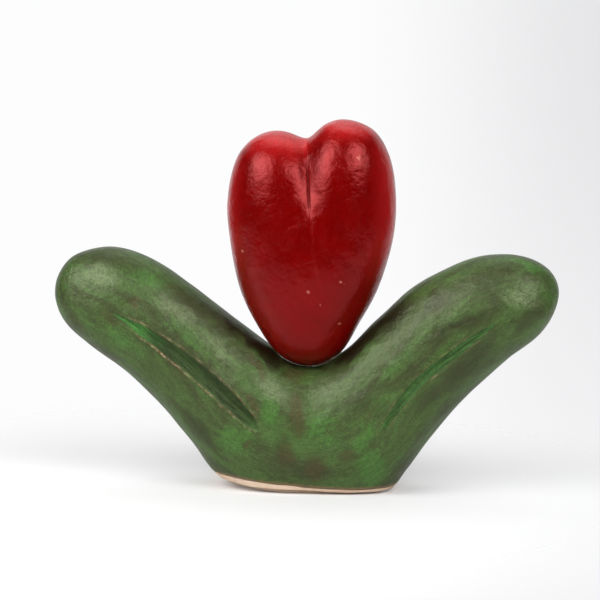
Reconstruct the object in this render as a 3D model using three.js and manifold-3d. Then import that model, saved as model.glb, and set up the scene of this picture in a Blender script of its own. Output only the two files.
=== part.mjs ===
// A ceramic tulip: a red bud of two lobes, glued into the saddle of a green body with two
// thick leaves, which stands on a bare clay foot. The body and the bud are hollow shells.
// Millimetres, +Z up, +X along the leaves, the front faces -Y.

import * as THREE from "three";
import { mergeVertices } from "three/addons/utils/BufferGeometryUtils.js";
import Module from "manifold-3d";

const wasm = await Module();
wasm.setup();
const { Manifold, Mesh: SolidMesh } = wasm;

// Clay
const leafWall = 6;
const budWall = 5.5;
const fitGap = 0.3;

// Main sizes: the leaves' span and height, and the bud's width and its height over its tip
const leafSpan = 243.8;
const leafHeight = 113.9;
const budWidth = 80.4;
const budHeight = 117.8;

// Leaf body: its outline in the front view as [x, z], from the left tip to the right tip
const leafOutline = {
  start: [-124.5, 93.2],
  upper: [
    [-116.6, 108], [-97.5, 113.9], [-78, 108.6], [-57, 95.4], [-36, 80], [-14, 65],
    [0.5, 59], [15, 65], [31, 80.5], [48.5, 96.2], [65.5, 107], [85.5, 113.5], [104, 112.8],
    [115.2, 106.6],
  ],
  end: [119.3, 96],
  lower: [
    [-119.4, 78.2], [-106, 65.8], [-87.5, 52.5], [-70.5, 36.5], [-55, 18.4], [-42.5, 3.5], [-24, -6.8],
    [0, -8.5], [24, -6.8], [40, -0.5], [47.5, 9.5], [60, 27], [77.5, 47.2], [95.5, 64.6], [112, 78.6],
  ],
};
const leafHalfDepth = 26;
const bodyHalfDepth = 30;
const bodyReach = 0.24;
const leftSweep = 5;
const leafSquareness = 2.2;

// Foot: the bare slab under the glaze line, its left end a little off the table
const slabEdge = 2.3;
const slabSpigot = 3.5;
const footLift = 3.4;
const footLiftFrom = -8;
const footLiftTo = -42;
const footLiftPower = 1.25;
const slabVentDiameter = 6;

// Veins carved along the leaves, as [x, z] in the front view from the leaf's tip inwards
const leftVein = [[-92, 85.3], [-75, 75.3], [-53, 60], [-38, 48], [-19.5, 31]];
const rightVein = [[91, 84.4], [75, 72.3], [58, 58.6], [48.5, 48], [38, 33]];
const broadVeinWidth = 7.5;
const broadVeinDepth = 2.8;
const slimVeinWidth = 5;
const slimVeinDepth = 1.6;
const veins = [
  { path: leftVein, side: -1, width: broadVeinWidth, depth: broadVeinDepth },
  { path: rightVein, side: -1, width: slimVeinWidth, depth: slimVeinDepth },
  { path: leftVein, side: 1, width: slimVeinWidth, depth: slimVeinDepth },
  { path: rightVein, side: 1, width: slimVeinWidth, depth: slimVeinDepth },
];
const veinSquareness = 1.4;

// Bud: the outlines of its two lobes as [x, z], from the tip at the bottom to the top
const budTip = 59.2;
const leftLobe = {
  start: [-2, budTip],
  upper: [[-14.5, 65], [-25.6, 80.3], [-32.8, 95.6], [-37.5, 118.7], [-38.8, 138], [-33.5, 160], [-24.5, 169]],
  end: [-14.5, 171.4],
  lower: [[11, 65], [21, 80], [29, 95], [31, 111], [27, 126], [17.5, 142], [7, 158], [-3, 167.6]],
};
const rightLobe = {
  start: [2.5, budTip],
  upper: [[-9, 65], [-20, 80], [-22, 95], [-23, 111], [-19, 126], [-11.5, 142], [-4, 158], [2, 168.6], [8, 174.8]],
  end: [17.5, 177],
  lower: [[14.8, 65], [24.8, 81], [33, 97], [39.9, 118.7], [41.6, 138], [38.8, 158.5], [31, 171.8]],
};
const budHalfDepth = 31;
const lobeRoundness = 1.15;

// Joint between bud and body
const glueReach = 1.3;
const pinDiameter = 5;
const pinLength = 24;

// Mesh fineness
const leafSections = 56;
const leafSides = 34;
const lobeSections = 34;
const lobeSides = 30;
const veinSections = 24;
const veinSides = 8;
const postSides = 20;
const insideShare = 0.55;

// Starts out equal to value, and bends over so that it never passes limit.
function softCap(value, limit) {
  return value / Math.pow(1 + Math.pow(value / limit, 4), 0.25);
}

// Moves drawn points so that their outlines become width wide, and height high above base.
function stretchOf(outlines, width, height, drawnBase, base) {
  const points = outlines.flatMap(({ start, upper, end, lower }) => [start, ...upper, end, ...lower]);
  const xs = points.map(([x]) => x);
  const zs = points.map(([, z]) => z);
  const wider = width / (Math.max(...xs) - Math.min(...xs));
  const higher = height / (Math.max(...zs) - drawnBase);
  return ([x, z]) => [x * wider, base + (z - drawnBase) * higher];
}

// Cuts a closed outline at its two tips into an upper and a lower rail.
function railsOf({ start, upper, end, lower }, stretch) {
  const loop = [start, ...upper, end, ...lower.toReversed()].map(stretch);
  const corners = loop.map(([x, z]) => new THREE.Vector3(x, 0, z));
  const outline = new THREE.CatmullRomCurve3(corners, true);
  const endAt = (upper.length + 1) / loop.length;
  const steps = 8 * loop.length;
  const rail = (from, to) => {
    const points = [];
    for (let k = 0; k <= steps; k += 1) {
      points.push(outline.getPoint(from + ((to - from) * k) / steps));
    }
    return new THREE.CatmullRomCurve3(points);
  };
  return { upper: rail(0, endAt), lower: rail(1, endAt) };
}

// Oval section between the rails, at share t of the way; depthFor gives its half depth.
function sectionBetween(rails, t, depthFor) {
  const a = rails.upper.getPointAt(t);
  const b = rails.lower.getPointAt(t);
  return {
    centre: a.clone().add(b).multiplyScalar(0.5),
    across: a.clone().sub(b).multiplyScalar(0.5),
    deep: new THREE.Vector3(0, depthFor(a.distanceTo(b) / 2), 0),
  };
}

// Crowds the sections towards both ends, so that the round tips stay round.
function crowded(t) {
  return t - (0.85 * Math.sin(2 * Math.PI * t)) / (2 * Math.PI);
}

// Closed skin round a row of oval sections; the first and the last shrink to a point.
function loft(sectionAt, sections, sides, squareness) {
  const positions = [];
  const power = 2 / squareness;
  const addPoint = (point) => positions.push(point.x, point.y, point.z);
  addPoint(sectionAt(0).centre);
  for (let k = 1; k < sections; k += 1) {
    const { centre, across, deep } = sectionAt(crowded(k / sections));
    for (let side = 0; side < sides; side += 1) {
      const c = Math.cos((2 * Math.PI * side) / sides);
      const s = Math.sin((2 * Math.PI * side) / sides);
      const point = centre.clone();
      point.addScaledVector(across, Math.sign(c) * Math.pow(Math.abs(c), power));
      point.addScaledVector(deep, Math.sign(s) * Math.pow(Math.abs(s), power));
      addPoint(point);
    }
  }
  addPoint(sectionAt(1).centre);
  const last = positions.length / 3 - 1;
  const corner = (k, side) => 1 + (k - 1) * sides + (side % sides);
  const triangles = [];
  for (let side = 0; side < sides; side += 1) {
    triangles.push(0, corner(1, side), corner(1, side + 1));
    triangles.push(last, corner(sections - 1, side + 1), corner(sections - 1, side));
    for (let k = 1; k < sections - 1; k += 1) {
      triangles.push(corner(k, side), corner(k + 1, side + 1), corner(k, side + 1));
      triangles.push(corner(k, side), corner(k + 1, side), corner(k + 1, side + 1));
    }
  }
  const geometry = new THREE.BufferGeometry();
  geometry.setAttribute("position", new THREE.Float32BufferAttribute(positions, 3));
  geometry.setIndex(triangles);
  return geometry;
}

// Moves every point of a closed skin outwards by a distance, or inwards if it is negative.
function swell(geometry, distance) {
  const grown = geometry.clone();
  grown.computeVertexNormals();
  const position = grown.getAttribute("position");
  const normal = grown.getAttribute("normal");
  for (let i = 0; i < position.count; i += 1) {
    const x = position.getX(i) + distance * normal.getX(i);
    const y = position.getY(i) + distance * normal.getY(i);
    const z = position.getZ(i) + distance * normal.getZ(i);
    position.setXYZ(i, x, y, z);
  }
  return grown;
}

function solidOf(geometry) {
  const bare = geometry.clone();
  bare.deleteAttribute("normal");
  bare.deleteAttribute("uv");
  const merged = mergeVertices(bare);
  const vertProperties = new Float32Array(merged.getAttribute("position").array);
  const triVerts = new Uint32Array(merged.index.array);
  return new Manifold(new SolidMesh({ numProp: 3, vertProperties, triVerts }));
}

function geometryOf(solid) {
  const mesh = solid.getMesh();
  const geometry = new THREE.BufferGeometry();
  geometry.setAttribute("position", new THREE.BufferAttribute(new Float32Array(mesh.vertProperties), 3));
  geometry.setIndex(new THREE.BufferAttribute(new Uint32Array(mesh.triVerts), 1));
  geometry.computeVertexNormals();
  return geometry;
}

const onLeaf = stretchOf([leafOutline], leafSpan, leafHeight, 0, 0);
const seatZ = onLeaf([0, budTip])[1];
const onBud = stretchOf([leftLobe, rightLobe], budWidth, budHeight, budTip, seatZ);
const leafRails = railsOf(leafOutline, onLeaf);

function leafSection(t) {
  const fromMiddle = Math.abs(t - 0.5);
  const middleShare = 1 - THREE.MathUtils.smoothstep(fromMiddle, 0, bodyReach);
  const limit = THREE.MathUtils.lerp(leafHalfDepth, bodyHalfDepth, middleShare);
  const section = sectionBetween(leafRails, t, (half) => softCap(half, limit));
  section.centre.y = leftSweep * THREE.MathUtils.smoothstep(0.5 - t, 0, bodyReach);
  return section;
}

function leafSkin(distance, share = 1) {
  const sections = Math.round(leafSections * share);
  const sides = Math.round(leafSides * share);
  return solidOf(swell(loft(leafSection, sections, sides, leafSquareness), distance));
}

function lobeSkin(outline, distance, share) {
  const rails = railsOf(outline, onBud);
  const sectionAt = (t) => sectionBetween(rails, t, (half) => softCap(half * lobeRoundness, budHalfDepth));
  const sections = Math.round(lobeSections * share);
  const sides = Math.round(lobeSides * share);
  return solidOf(swell(loft(sectionAt, sections, sides, 2), distance));
}

function budSkin(distance, share = 1) {
  return lobeSkin(leftLobe, distance, share).add(lobeSkin(rightLobe, distance, share));
}

// The foot's lower face: flat on the table, and rising towards the left end.
function footAt(x) {
  const share = Math.max(0, (x - footLiftFrom) / (footLiftTo - footLiftFrom));
  return footLift * Math.pow(share, footLiftPower);
}

// Everything under the foot's lower face, once that is raised by height.
function underFoot(height) {
  const reach = 0.6 * leafSpan;
  const steps = 48;
  const shape = new THREE.Shape();
  shape.moveTo(-reach, -reach);
  shape.lineTo(reach, -reach);
  for (let k = 0; k <= steps; k += 1) {
    const x = reach - (2 * reach * k) / steps;
    shape.lineTo(x, footAt(x) + height);
  }
  const block = new THREE.ExtrudeGeometry(shape, { depth: 2 * reach, bevelEnabled: false });
  block.rotateX(Math.PI / 2);
  block.translate(0, reach, 0);
  return solidOf(block);
}

function post(diameter, bottom, top, x) {
  const geometry = new THREE.CylinderGeometry(diameter / 2, diameter / 2, top - bottom, postSides);
  geometry.rotateX(Math.PI / 2);
  geometry.translate(x, 0, (top + bottom) / 2);
  return solidOf(geometry);
}

// The point of the leaf's front or back skin that shows at [x, z] in the front view.
function onLeafSkin(x, z, side) {
  let [low, high] = x < 0 ? [0.02, 0.5] : [0.5, 0.98];
  for (let k = 0; k < 30; k += 1) {
    const { centre, across } = leafSection((low + high) / 2);
    const ahead = across.z * (x - centre.x) - across.x * (z - centre.z);
    [low, high] = ahead > 0 ? [(low + high) / 2, high] : [low, (low + high) / 2];
  }
  const { centre, across, deep } = leafSection(low);
  const offset = ((x - centre.x) * across.x + (z - centre.z) * across.z) / across.lengthSq();
  const rise = Math.pow(1 - Math.pow(Math.abs(offset), leafSquareness), 1 / leafSquareness);
  return new THREE.Vector3(x, centre.y + side * rise * deep.y, z);
}

// Slim lens-shaped gouge that follows a vein over the skin and tapers to both ends.
function veinGouge({ path, side, width, depth }) {
  const line = new THREE.CatmullRomCurve3(path.map(onLeaf).map(([x, z]) => onLeafSkin(x, z, side)));
  const outward = new THREE.Vector3(0, side, 0);
  const sectionAt = (t) => {
    const flat = line.getPointAt(t);
    const sideways = line.getTangentAt(t).cross(outward).normalize();
    const taper = Math.pow(Math.sin(Math.PI * t), 0.7);
    return {
      centre: onLeafSkin(flat.x, flat.z, side),
      across: sideways.multiplyScalar((taper * width) / 2),
      deep: outward.clone().multiplyScalar(taper * depth),
    };
  };
  return solidOf(loft(sectionAt, veinSections, veinSides, veinSquareness));
}

const seatX = (leftLobe.start[0] + rightLobe.start[0]) / 2;
const pinBore = post(pinDiameter + 2 * fitGap, seatZ - pinLength, seatZ + pinLength, seatX);

function buildLeafBody() {
  let body = leafSkin(0).subtract(leafSkin(-leafWall, insideShare));
  body = body.subtract(underFoot(slabEdge + fitGap));
  body = body.subtract(budSkin(fitGap)).subtract(pinBore);
  for (const vein of veins) {
    body = body.subtract(veinGouge(vein));
  }
  return body;
}

function buildFootSlab() {
  const edge = leafSkin(0).intersect(underFoot(slabEdge)).subtract(underFoot(0));
  const hollow = leafSkin(-leafWall - fitGap, insideShare);
  const spigot = hollow.intersect(underFoot(slabEdge + slabSpigot)).subtract(underFoot(slabEdge / 2));
  const top = footLift + slabEdge + slabSpigot;
  return edge.add(spigot).subtract(post(slabVentDiameter, -top, 2 * top, 0));
}

function buildBudShell() {
  return budSkin(0).subtract(budSkin(-budWall, insideShare)).subtract(pinBore);
}

function buildGlueBead() {
  const nearBoth = budSkin(glueReach).intersect(leafSkin(glueReach));
  return nearBoth.subtract(budSkin(fitGap)).subtract(leafSkin(fitGap)).subtract(pinBore);
}

function buildLocatingPin() {
  return post(pinDiameter, seatZ - pinLength / 2, seatZ + pinLength / 2, seatX);
}

const finishes = {
  greenGlaze: { color: 0x3f6b33, roughness: 0.4, metalness: 0 },
  redGlaze: { color: 0x8f0d12, roughness: 0.15, metalness: 0 },
  bareClay: { color: 0xd9bd9c, roughness: 0.8, metalness: 0 },
  clearGlue: { color: 0xe8ddc8, roughness: 0.2, metalness: 0 },
  beechPin: { color: 0xb98f5e, roughness: 0.7, metalness: 0 },
};

function piece(name, solid, finish) {
  const mesh = new THREE.Mesh(geometryOf(solid), new THREE.MeshStandardMaterial(finishes[finish]));
  mesh.name = name;
  return mesh;
}

const tulip = new THREE.Group();
tulip.add(piece("leaf_body", buildLeafBody(), "greenGlaze"));
tulip.add(piece("foot_slab", buildFootSlab(), "bareClay"));
tulip.add(piece("bud_shell", buildBudShell(), "redGlaze"));
tulip.add(piece("glue_bead", buildGlueBead(), "clearGlue"));
tulip.add(piece("locating_pin", buildLocatingPin(), "beechPin"));

// The origin is on the table, under the middle of the whole piece.
const box = new THREE.Box3().setFromObject(tulip);
const middle = box.getCenter(new THREE.Vector3());
tulip.position.set(-middle.x, -middle.y, -box.min.z);

export default tulip;
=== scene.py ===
"""A ceramic tulip: a glossy red bud, glued into the saddle of a mottled green leaf body.

Lengths in this script are millimetres in the drawing's own frame, +Z up and the front facing -Y,
until to_row moves them into the row frame in metres.
"""
import math

import bmesh
import bpy
import numpy as np
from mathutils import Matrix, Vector, noise
from mathutils.bvhtree import BVHTree


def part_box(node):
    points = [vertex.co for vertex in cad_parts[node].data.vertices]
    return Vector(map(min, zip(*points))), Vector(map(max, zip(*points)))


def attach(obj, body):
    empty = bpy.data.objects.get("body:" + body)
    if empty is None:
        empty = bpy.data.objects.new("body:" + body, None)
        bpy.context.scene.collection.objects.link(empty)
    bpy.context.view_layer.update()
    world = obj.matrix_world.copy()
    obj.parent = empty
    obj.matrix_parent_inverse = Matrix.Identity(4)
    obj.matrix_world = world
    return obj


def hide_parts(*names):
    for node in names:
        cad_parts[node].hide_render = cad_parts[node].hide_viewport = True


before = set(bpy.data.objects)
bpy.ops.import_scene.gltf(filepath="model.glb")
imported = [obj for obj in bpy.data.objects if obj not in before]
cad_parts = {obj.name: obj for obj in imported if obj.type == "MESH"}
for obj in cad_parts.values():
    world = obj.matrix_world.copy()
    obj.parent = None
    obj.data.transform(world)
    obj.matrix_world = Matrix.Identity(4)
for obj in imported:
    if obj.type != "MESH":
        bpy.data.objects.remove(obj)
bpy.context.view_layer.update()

# Leaf body: its outline in the front view as [x, z], from the left tip to the right tip
LEAF_OUTLINE = {
    "start": [-124.5, 93.2],
    "upper": [
        [-116.6, 108], [-97.5, 113.9], [-78, 108.6], [-57, 95.4], [-36, 80], [-14, 65],
        [0.5, 59], [15, 65], [31, 80.5], [48.5, 96.2], [65.5, 107], [85.5, 113.5], [104, 112.8],
        [115.2, 106.6],
    ],
    "end": [119.3, 96],
    "lower": [
        [-119.4, 78.2], [-106, 65.8], [-87.5, 52.5], [-70.5, 36.5], [-55, 18.4], [-42.5, 3.5],
        [-24, -6.8], [0, -8.5], [24, -6.8], [40, -0.5], [47.5, 9.5], [60, 27], [77.5, 47.2],
        [95.5, 64.6], [112, 78.6],
    ],
}
LEAF_HALF_DEPTH = 26
BODY_HALF_DEPTH = 30
BODY_REACH = 0.24
LEFT_SWEEP = 5
SWEEP_REACH = 60
LEAF_SQUARENESS = 2.2
LEAF_SAG = 0.12

# Unevenness of the hand-made leaves, as [size of the bumps, seed, height]
DENTS = [[34, 7, 0.7], [15, 8, 0.28], [6, 9, 0.07]]

# The part of the leaf body that can touch the bud
SEAT_HALF_WIDTH = 45
SEAT_FROM = 40

# Foot: the bare slab under the glaze line, its left end a little off the table
SLAB_EDGE = 2.3
FOOT_LIFT = 3.4
FOOT_LIFT_FROM = -8
FOOT_LIFT_TO = -42
FOOT_LIFT_POWER = 1.25
FIT_GAP = 0.3
GLAZE_EDGE = SLAB_EDGE + FIT_GAP

# Rise of the glaze line and of the strip's lower edge along the foot, as [x, height]
STRIP_RISE = [
    [-46, 5.3], [-26, 3.7], [-14, 2.4], [-2, 1.4], [10, 0.9], [22, 0.5], [36, 0.7], [48, 0.9],
]
UNDERCUT_LINE = [
    [-46, 5], [-26, 2.7], [-14, 2.2], [-2, 2.1], [10, 1.5], [22, 1.1], [36, 1.2], [48, 1.5],
]

# Waves of the glaze line: their height, and for each its share, number round the foot and start
GLAZE_WAVE = 0.45
GLAZE_WAVES = [[0.5, 3, 1], [0.3, 7, 2], [0.2, 13, 0]]

# How deep the foot is cut back under the strip, how far it goes on below, and how far down the
# shade painted on it there reaches
UNDERCUT = 2.2
BELOW_UNDERCUT = 2.5
UNDERCUT_SHADE_HEIGHT = 1.4

# Rounded edges of glaze and clay, as (height, inset), and how far from each edge the skin is
# cut for them
GLAZE_ROUNDING = (0.7, 0.45)
GLAZE_CUTS = (0.12, 0.3, 0.55, 0.9)
STRIP_INSET = 0.2
STRIP_ROUNDING = (0.4, 0.25)
STRIP_TOP_ROUNDING = (0.35, 0.15)
STRIP_CUTS = (0.05, 0.15, 0.3)
CUT_TOLERANCE = 0.01

# Height of the band above the glaze line where the clay shines through
EDGE_BAND = 2.2

# Veins, as [x, z] in the front view from the leaf's tip inwards. widths and depths are
# [share of the way, millimetres]; burr is the height of the clay thrown up beside the cut
LEFT_VEIN = [[-92, 85.3], [-75, 75.3], [-53, 60], [-38, 48], [-19.5, 31]]
RIGHT_VEIN = [[91, 84.4], [75, 72.3], [58, 58.6], [48.5, 48], [38, 33]]
RIGHT_FRESH = [[0, 0.6], [1, 0.5]]
BACK_WIDTHS = [[0, 1], [0.25, 5], [0.75, 5.4], [1, 1]]
BACK_DEPTHS = [[0, 0], [0.2, 1.3], [0.75, 1.6], [1, 0]]
VEINS = [
    {
        "path": LEFT_VEIN, "side": -1, "burr": 0.5, "sharp": 1.0,
        "widths": [[0, 0.6], [0.16, 5.4], [0.5, 8.2], [0.75, 8.6], [0.93, 6.6], [1, 1]],
        "depths": [[0, 0], [0.18, 1.4], [0.5, 2.7], [0.78, 3.1], [0.94, 2.2], [1, 0]],
        "fresh": [[0, 0.9], [0.18, 1], [0.34, 0.15], [0.8, 0.05], [1, 0.3]],
    },
    {
        "path": RIGHT_VEIN, "side": -1, "burr": 0.16, "sharp": 0.25,
        "widths": [[0, 1.5], [0.25, 4.8], [0.7, 5.4], [1, 3]],
        "depths": [[0, 0], [0.2, 0.6], [0.7, 0.8], [1, 0]],
        "fresh": RIGHT_FRESH,
    },
    {
        "path": LEFT_VEIN, "side": 1, "burr": 0.25, "sharp": 0.6,
        "widths": BACK_WIDTHS, "depths": BACK_DEPTHS,
        "fresh": [[0, 0.8], [0.4, 0.3], [1, 0.3]],
    },
    {
        "path": RIGHT_VEIN, "side": 1, "burr": 0.16, "sharp": 0.4,
        "widths": BACK_WIDTHS, "depths": BACK_DEPTHS, "fresh": RIGHT_FRESH,
    },
]

# Reach of a vein's cut, waver of the hand and steepness of a sharp wall
VEIN_MARGIN = 12
VEIN_WAVER = 0.35
WALL_POWER = 0.85

# Ridge of torn clay: its distance from the cut, its width, and how soon it shows bare
RIDGE_PLACE = 0.25
RIDGE_WIDTH = 0.38
RIDGE_BARE = 2.2

# Bud: the outlines of its two lobes as [x, z], from the tip at the bottom to the top
LEFT_LOBE = {
    "start": [-2, 59.2],
    "upper": [
        [-14.5, 65], [-25.6, 80.3], [-32.8, 95.6], [-37.5, 118.7], [-38.8, 138], [-33.5, 160],
        [-24.5, 169],
    ],
    "end": [-14.5, 171.4],
    "lower": [
        [11, 65], [21, 80], [29, 95], [31, 111], [27, 126], [17.5, 142], [7, 158], [-3, 167.6],
    ],
}
RIGHT_LOBE = {
    "start": [2.5, 59.2],
    "upper": [
        [-9, 65], [-20, 80], [-22, 95], [-23, 111], [-19, 126], [-11.5, 142], [-4, 158],
        [2, 168.6], [8, 174.8],
    ],
    "end": [17.5, 177],
    "lower": [
        [14.8, 65], [24.8, 81], [33, 97], [39.9, 118.7], [41.6, 138], [38.8, 158.5], [31, 171.8],
    ],
}
BUD_HALF_DEPTH = 31
LOBE_ROUNDNESS = 1.15
BUD_HEART = [1.5, 0, 118]

# Unevenness of the bud: broad dents as [size, seed, height], and lumps as [size, seed, how much
# flatter than wide, height, share of it low on the bud], which grow between two heights
BUD_DENTS = [30, 1, 0.25]
BUD_LUMPS = [[7.5, 2, 1.3, 0.055, 0.2], [2.6, 5, 1.2, 0.025, 0.3]]
LUMPS_GROW = (118, 150)

# Crease between the lobes: [height, width over which the lobes melt together], and the depth of
# the valley that was pressed along it, with a fine cut in its upper part
CREASE_SOFTNESS = [
    [60, 2], [85, 5], [105, 7.5], [122, 8.5], [138, 7], [146, 4.5], [154, 4.5], [160, 9], [172, 14],
]
VALLEY_DEPTH = [[116, 0], [136, 0.3], [144, 0.6], [152, 0.7], [158, 0.6], [165, 0]]
VALLEY_WIDTH = 1.8
CUT_DEPTH = [[132, 0], [142, 0.7], [154, 0.9], [161, 0]]
CUT_WIDTH = 0.6

# Shoulders beside the crease, as [distance from it, half width towards it, half width away,
# height], and between which heights each one rises and falls off
SHOULDERS = [
    [-4.5, 2.4, 3.6, 0.5, 120, 152, 160, 170],
    [8.5, 4.5, 5, 0.65, 118, 152, 158, 170],
    [2, 1.8, 6, 0.5, 92, 104, 118, 130],
]

# Pinholes in the red glaze, as [x, z, radius, depth] on the front. Places and widths of the
# raised rim and of the ring of pale clay are in radii, the rim's height in depths
PINHOLES = [
    [3.7, 98.2, 0.5, 0.3], [18.6, 102.8, 0.35, 0.25], [20.2, 101.6, 0.25, 0.15],
    [26.2, 160.6, 0.5, 0.3], [9.2, 91.9, 0.25, 0.15], [17.2, 82.2, 0.35, 0.2],
    [-28.9, 115.9, 0.4, 0.2],
]
RIM_PLACE = 1.2
RIM_HEIGHT = 0.6
RING_PLACE = 0.9
RING_WIDTH = 0.5

# Painted light, where the red is lighter: how far the skin faces up or sideways, and between
# which heights
TOP_LIGHT_FACING = (0.35, 0.95)
TOP_LIGHT_HEIGHTS = (138, 162)
SIDE_LIGHT_FACING = (0.55, 1)
SIDE_LIGHT_HEIGHTS = (95, 125)
SIDE_LIGHT_SHARE = 0.6

# Patches where the glaze broke to another colour, as [x, z, half length, half width, tilt in
# degrees, strength] on the front; the back has them mirrored. The pale ones are painted sheen,
# the dark ones painted shade under the bud and along the leaves' tops, and the olive ones olive
# glaze with painted shade along the leaves' tops and over parts of the sheen
PATCHES = {
    "brown": [
        [-2.4, 40.6, 11, 4.5, 95, 0.95], [-6.3, 20, 7, 4.5, 90, 0.85], [7, 14, 8.5, 5.5, 80, 0.9],
        [21.7, 20.6, 5.5, 4.5, 10, 0.7], [-25.7, 24.3, 2.8, 2, 60, 0.9], [-22, 60, 9, 2, -55, 0.7],
        [-23, 44, 7, 2.6, -52, 0.8], [-5.7, 56.5, 6, 3, 0, 0.8], [-82.7, 89.5, 6, 3.5, -20, 0.7],
        [-93, 82.5, 6, 3.5, -30, 0.6], [32.5, 38, 12, 1.8, 66, 0.6], [-44, 66, 16, 2, -38, 0.35],
    ],
    # olive glaze, with painted shade along the leaves' tops and over parts of the sheen
    "olive_and_shade": [
        [-51, 31, 14, 4, -45, 0.9], [-56, 89, 18, 4.5, -38, 0.8],
        [-38, 78, 14, 4, -40, 0.9], [44, 84, 14, 4.5, 42, 0.9], [76, 84, 20, 4.5, 24, 0.8],
        [88, 101, 10, 4, 20, 0.6], [105, 86, 10, 5, 45, 0.7], [79, 65.5, 18, 7, 42, 0.9],
        [60, 50, 13, 6, 48, 0.6], [-70, 58, 10, 5, -45, 0.5], [28, 49, 13, 3.5, 42, 0.6],
        [62, 91.5, 12, 4, 46, 0.8], [65, 78, 10, 4, 42, 0.7], [-9, 25, 7, 4, 60, 0.6],
    ],
    "bright": [
        [-31.7, 26.3, 10, 7, 0, 1], [-54, 73, 22, 4, -38, 0.5], [-77, 100.3, 14, 4, -15, 0.7],
        [-15, 41, 9, 3.5, 90, 0.9], [9, 34, 9, 6, 45, 0.7], [14, 28, 5, 3, 0, 0.7],
        [33, 14, 12, 6.5, 90, 1], [30.5, 30, 10, 4, 70, 1], [106, 110.5, 12, 3, -15, 0.9],
        [65, 70, 15, 3, 42, 0.5], [42, 62, 9, 4, 45, 0.5], [-86, 72, 14, 5, -38, 0.6],
    ],
    # painted sheen: pale patches where highlights fall on the leaves
    "painted_sheen": [
        [-97, 102, 10, 6, -15, 0.75], [-15, 51, 11, 4.5, -35, 0.7], [12, 51, 10, 3, 32, 0.35],
        [-62, 86, 15, 4, -33, 0.65], [-41, 69, 16, 4, -38, 0.6],
        [102, 96, 11, 6, -10, 0.6],
    ],
    # painted shade: near black under the bud, darker bands along the leaves' tops
    "painted_shade": [
        [-21, 68.5, 17, 4.5, -42, 1], [24, 71, 18, 5, 42, 1], [-2, 61, 13, 2.6, 0, 0.9],
        [-46, 88, 20, 4, -36, 0.55], [-35, 80, 13, 4.5, -42, 0.7], [38, 84, 17, 4.5, 44, 0.85],
        [72, 83.5, 15, 3, 26, 0.45], [90, 96, 9, 4, -50, 0.4], [60, 92, 8, 3.5, 46, 0.45],
    ],
}

# Raggedness of the patches, how steeply they fall off, and how far from the plane between
# front and back they fade in
PATCH_WAVER = 2.5
PATCH_BUMPS = 6
PATCH_POWER = 1.3
PATCH_FADE = (1, 9)

# Glue: the bead along the joint, and the blob that ran out at the right, placed in degrees
BEAD_RADIUS = 0.42
BLOB_RADIUS = 1.4
BLOB_AZIMUTH = -46
BLOB_HALF_WIDTH = 4.5
BEAD_UNEVENNESS = 0.35
JOINT_REACH = 34
ABOVE_ALL = 200

# Mesh fineness. The rows crowd along the veins and the crease, as (width, gain), and the
# columns towards the tips
LEAF_COLUMNS = 440
FRONT_ROWS = 132
BACK_ROWS = 64
BUD_COLUMNS = 400
BUD_ROWS = 230
LOBE_SECTIONS = 220
LOBE_SIDES = 180
BEAD_STEPS = 260
BEAD_SIDES = 12
SPLINE_STEPS = 24
VEIN_STEPS = 40
TIP_CROWDING = 0.85
VEIN_CROWDING = (0.035, 3.2)
CREASE_CROWDING = (0.09, 3)
VEIN_SMOOTHING = 25
RING_SMOOTHING = 9


def soft_cap(value, limit):
    """Starts out equal to value, and bends over so that it never passes limit."""
    return value / (1 + (value / limit) ** 4) ** 0.25


def smoothstep(value, low, high):
    share = np.clip((value - low) / (high - low), 0, 1)
    return share * share * (3 - 2 * share)


def bell(value, width):
    """1 where value is zero, falling off smoothly to both sides."""
    return np.exp(-((value / width) ** 2))


def table_at(table, value):
    """Second column of a table at a value of its first, straight between its rows."""
    return np.interp(value, *np.transpose(table))


def smoothed(values, width, ends):
    """Running average over width values; ends tells how the line goes on beyond its ends."""
    kernel = np.hanning(width)
    return np.convolve(np.pad(values, width // 2, mode=ends), kernel / kernel.sum(), "valid")


def signed_power(value, power):
    return np.sign(value) * np.abs(value) ** power


def closed_spline(points, steps):
    """Smooth closed line through the points, with steps points in each span."""
    corners = np.array(points, float)
    before, after, beyond = [np.roll(corners, shift, axis=0) for shift in (1, -1, -2)]
    gap_a = np.sqrt(np.linalg.norm(corners - before, axis=1))[:, None]
    gap_b = np.sqrt(np.linalg.norm(after - corners, axis=1))[:, None]
    gap_c = np.sqrt(np.linalg.norm(beyond - after, axis=1))[:, None]
    slope = (after - corners) / gap_b
    leave = (corners - before) / gap_a - (after - before) / (gap_a + gap_b) + slope
    reach = slope - (beyond - corners) / (gap_b + gap_c) + (beyond - after) / gap_c
    leave = leave * gap_b
    reach = reach * gap_b
    line = []
    for k in range(steps):
        u = k / steps
        line.append(
            corners * (2 * u**3 - 3 * u**2 + 1)
            + leave * (u**3 - 2 * u**2 + u)
            + after * (3 * u**2 - 2 * u**3)
            + reach * (u**3 - u**2)
        )
    return np.stack(line, axis=1).reshape(-1, corners.shape[1])


def open_spline(points, steps):
    """Smooth line from the first point to the last."""
    corners = np.array(points, float)
    first = 2 * corners[0] - corners[1]
    last = 2 * corners[-1] - corners[-2]
    line = closed_spline([first, *corners, last], steps)
    return line[steps : steps * len(corners) + 1]


def rail(points):
    """A line's points with their shares of its length."""
    lengths = np.linalg.norm(np.diff(points, axis=0), axis=1)
    shares = np.concatenate([[0], np.cumsum(lengths)])
    return shares / shares[-1], points


def rails_of(outline):
    """Cuts a closed outline at its two tips into an upper and a lower rail."""
    loop = [outline["start"], *outline["upper"], outline["end"], *reversed(outline["lower"])]
    line = closed_spline(loop, SPLINE_STEPS)
    turn = SPLINE_STEPS * (len(outline["upper"]) + 1)
    return rail(line[: turn + 1]), rail(np.vstack([line[:1], line[turn:][::-1]]))


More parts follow.
